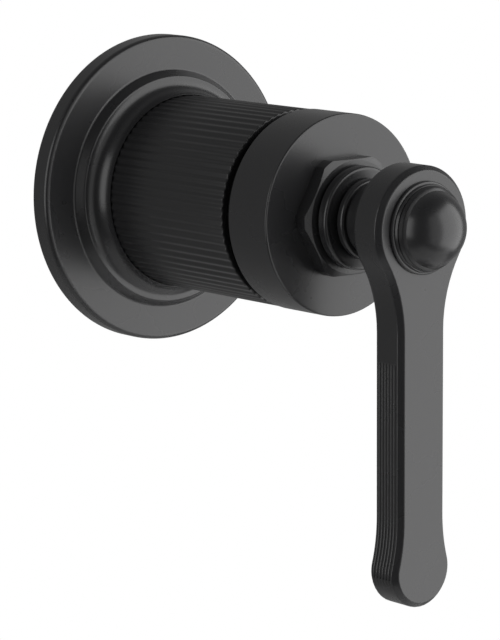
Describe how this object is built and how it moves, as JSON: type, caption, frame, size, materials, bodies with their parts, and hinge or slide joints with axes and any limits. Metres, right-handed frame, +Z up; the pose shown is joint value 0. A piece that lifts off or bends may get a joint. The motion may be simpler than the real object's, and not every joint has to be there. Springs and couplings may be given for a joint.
{
  "type": "wall mixer",
  "caption": "Wall mixer for a shower or bath: round stepped wall plate, reeded sleeve, smooth cap, hexagon nut and a hanging flat lever that turns for flow and warmth.",
  "frame": {"origin": "on the wall, at the centre of the wall plate's back, where the main axis meets the wall", "axes": "+Y goes into the wall along the main axis, so the mixer stands out towards -Y; +Z is up and the lever hangs towards -Z; +X is to the right as seen from in front"},
  "size_m": [0.085, 0.1446, 0.142],
  "materials": {
    "black_coat": "satin black coat on brass",
    "brass": "machined",
    "steel": "plain",
    "rubber": "matt",
    "foam_rubber": "matt foam",
    "white_moulding": "moulded",
    "blue_moulding": "moulded",
    "red_moulding": "moulded",
    "black_moulding": "moulded",
    "ceramic": "lapped ceramic"
  },
  "bodies": {
    "fixed": {"wall_plate": "black_coat", "wall_gasket": "foam_rubber", "plate_o_ring": "rubber", "reeded_sleeve": "black_coat", "body_o_rings": "rubber", "valve_body": "brass", "port_seals": "rubber", "cartridge_base": "white_moulding", "disc_seals": "rubber", "cartridge_housing": "white_moulding", "fixed_disc": "ceramic", "cartridge_nut": "brass", "stop_ring": "red_moulding", "glide_ring": "black_moulding"},
    "handle": {"moving_disc": "ceramic", "disc_carrier": "blue_moulding", "cartridge_stem": "brass", "stem_o_ring": "rubber", "spindle": "brass", "grub_screw": "steel", "handle_cap": "black_coat", "hex_nut": "black_coat", "stepped_bush": "black_coat", "lever": "black_coat", "dome_nut": "black_coat"}
  },
  "joints": [
    {"name": "lever_turn", "type": "hinge", "parent": "fixed", "child": "handle", "pos_m": [0, -0.08, 0], "axis": [0, -1, 0], "range_deg": [0, 105]}
  ]
}
